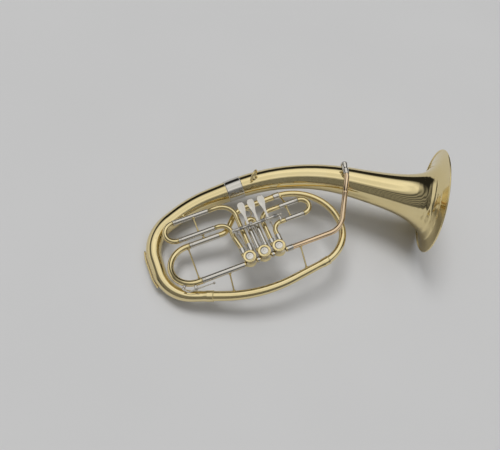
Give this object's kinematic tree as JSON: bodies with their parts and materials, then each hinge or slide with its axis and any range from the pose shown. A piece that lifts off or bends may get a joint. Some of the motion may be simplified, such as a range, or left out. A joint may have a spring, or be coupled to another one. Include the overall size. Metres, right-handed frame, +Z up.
{
  "type": "alto horn",
  "caption": "Oval brass alto horn with three rotary valves, pull slides, touch levers, water key and a wide bell, lying on its side.",
  "frame": {"origin": "middle of the horn's footprint, on the surface it lies on", "axes": "+Z up from that surface, +X along the valves towards the bell, +Y across the horn towards the stem"},
  "size_m": [0.6612, 0.298, 0.221],
  "materials": {
    "brass": "polished, clear lacquer",
    "rose_brass": "polished, clear lacquer",
    "nickel_silver": "polished",
    "spring_steel": "drawn wire"
  },
  "bodies": {
    "horn": {"bell": "brass", "main_bow": "brass", "bottom_branch": "brass", "right_loop": "brass", "upper_branch": "brass", "stem_ferrule": "nickel_silver", "branch_ferrule": "nickel_silver", "bow_guard": "brass", "valve_casing_1": "brass", "valve_cap_1": "brass", "valve_casing_2": "brass", "valve_cap_2": "brass", "valve_casing_3": "brass", "valve_cap_3": "brass", "connecting_tube_1": "nickel_silver", "connecting_tube_2": "nickel_silver", "slide_3_tube_high": "brass", "slide_3_tube_low": "brass", "slide_1_tube_high": "brass", "slide_1_tube_low": "brass", "slide_3_leg_high": "nickel_silver", "slide_3_leg_low": "nickel_silver", "slide_1_leg_high": "nickel_silver", "slide_1_leg_low": "nickel_silver", "slide_2_leg_left": "nickel_silver", "slide_2_leg_right": "nickel_silver", "tuning_leg_low": "nickel_silver", "tuning_leg_high": "nickel_silver", "leadpipe": "rose_brass", "receiver": "nickel_silver", "lever_frame": "nickel_silver", "lever_spring_1": "spring_steel", "lever_spring_2": "spring_steel", "lever_spring_3": "spring_steel", "brace_slide_3": "brass", "brace_tuning_leg": "brass", "brace_bottom_left": "brass", "brace_bottom_right": "brass", "brace_slide_1": "brass", "brace_branch": "brass", "brace_stem": "brass", "strap_ring": "brass"},
    "rotor_1": {"rotor_1": "nickel_silver"},
    "lever_1": {"lever_1": "nickel_silver"},
    "link_1": {"link_1": "nickel_silver"},
    "slide_1": {"slide_1_bow": "brass"},
    "rotor_2": {"rotor_2": "nickel_silver"},
    "lever_2": {"lever_2": "nickel_silver"},
    "link_2": {"link_2": "nickel_silver"},
    "slide_2": {"slide_2_bow": "brass"},
    "rotor_3": {"rotor_3": "nickel_silver"},
    "lever_3": {"lever_3": "nickel_silver"},
    "link_3": {"link_3": "nickel_silver"},
    "slide_3": {"slide_3_bow": "brass"},
    "tuning_slide": {"tuning_bow": "brass", "brace_tuning_bow": "brass", "key_nipple": "nickel_silver", "key_saddle": "nickel_silver", "key_spring": "spring_steel"},
    "water_key": {"key_lever": "nickel_silver"}
  },
  "joints": [
    {"name": "rotor_1_turn", "type": "hinge", "parent": "horn", "child": "rotor_1", "pos_m": [-0.07897, -0.04879, 0.08811], "axis": [-0.1723, 0.0754, 0.9822], "range_deg": [-90, 0]},
    {"name": "lever_1_press", "type": "hinge", "parent": "horn", "child": "lever_1", "pos_m": [-0.07056, 0.01523, 0.09994], "axis": [0.985, 0.0065, 0.1723], "range_deg": [-22.75, 0], "stiffness_Nm_per_rad": 0.13, "springref_deg": 28.65},
    {"name": "link_1_pivot", "type": "hinge", "parent": "lever_1", "child": "link_1", "pos_m": [-0.06529, 0.01918, 0.06822], "axis": [0.985, 0.0065, 0.1723], "range_deg": [0, 22.75]},
    {"name": "rotor_2_turn", "type": "hinge", "parent": "horn", "child": "rotor_2", "pos_m": [-0.10951, -0.049, 0.08277], "axis": [-0.1723, 0.0754, 0.9822], "range_deg": [-90, 0]},
    {"name": "lever_2_press", "type": "hinge", "parent": "horn", "child": "lever_2", "pos_m": [-0.09986, 0.01503, 0.09482], "axis": [0.985, 0.0065, 0.1723], "range_deg": [-22.75, 0], "stiffness_Nm_per_rad": 0.13, "springref_deg": 28.65},
    {"name": "link_2_pivot", "type": "hinge", "parent": "lever_2", "child": "link_2", "pos_m": [-0.10341, 0.01892, 0.06155], "axis": [0.985, 0.0065, 0.1723], "range_deg": [0, 22.75]},
    {"name": "rotor_3_turn", "type": "hinge", "parent": "horn", "child": "rotor_3", "pos_m": [-0.14004, -0.0492, 0.07743], "axis": [-0.1723, 0.0754, 0.9822], "range_deg": [-90, 0]},
    {"name": "lever_3_press", "type": "hinge", "parent": "horn", "child": "lever_3", "pos_m": [-0.13335, 0.01481, 0.08896], "axis": [0.985, 0.0065, 0.1723], "range_deg": [-22.75, 0], "stiffness_Nm_per_rad": 0.13, "springref_deg": 28.65},
    {"name": "link_3_pivot", "type": "hinge", "parent": "lever_3", "child": "link_3", "pos_m": [-0.1369, 0.0187, 0.0557], "axis": [0.985, 0.0065, 0.1723], "range_deg": [0, 22.75]},
    {"name": "slide_1_pull", "type": "slide", "parent": "horn", "child": "slide_1", "axis": [0.985, 0.0065, 0.1723], "range_m": [0, 0.027]},
    {"name": "slide_2_pull", "type": "slide", "parent": "horn", "child": "slide_2", "axis": [0.0065, 0.9971, -0.0754], "range_m": [0, 0.02]},
    {"name": "slide_3_pull", "type": "slide", "parent": "horn", "child": "slide_3", "axis": [-0.985, -0.0065, -0.1723], "range_m": [0, 0.05]},
    {"name": "tuning_slide_pull", "type": "slide", "parent": "horn", "child": "tuning_slide", "axis": [-0.985, -0.0065, -0.1723], "range_m": [0, 0.012]},
    {"name": "water_key_press", "type": "hinge", "parent": "tuning_slide", "child": "water_key", "pos_m": [-0.2574, -0.07022, 0.05846], "axis": [-0.1723, 0.0754, 0.9822], "range_deg": [0, 6], "stiffness_Nm_per_rad": 0.03, "springref_deg": -22.92}
  ],
  "couplings": [
    {"joint": "lever_1_press", "follows": "rotor_1_turn", "ratio": 0.25172},
    {"joint": "link_1_pivot", "follows": "rotor_1_turn", "ratio": -0.25172},
    {"joint": "lever_2_press", "follows": "rotor_2_turn", "ratio": 0.25172},
    {"joint": "link_2_pivot", "follows": "rotor_2_turn", "ratio": -0.25172},
    {"joint": "lever_3_press", "follows": "rotor_3_turn", "ratio": 0.25172},
    {"joint": "link_3_pivot", "follows": "rotor_3_turn", "ratio": -0.25172}
  ]
}
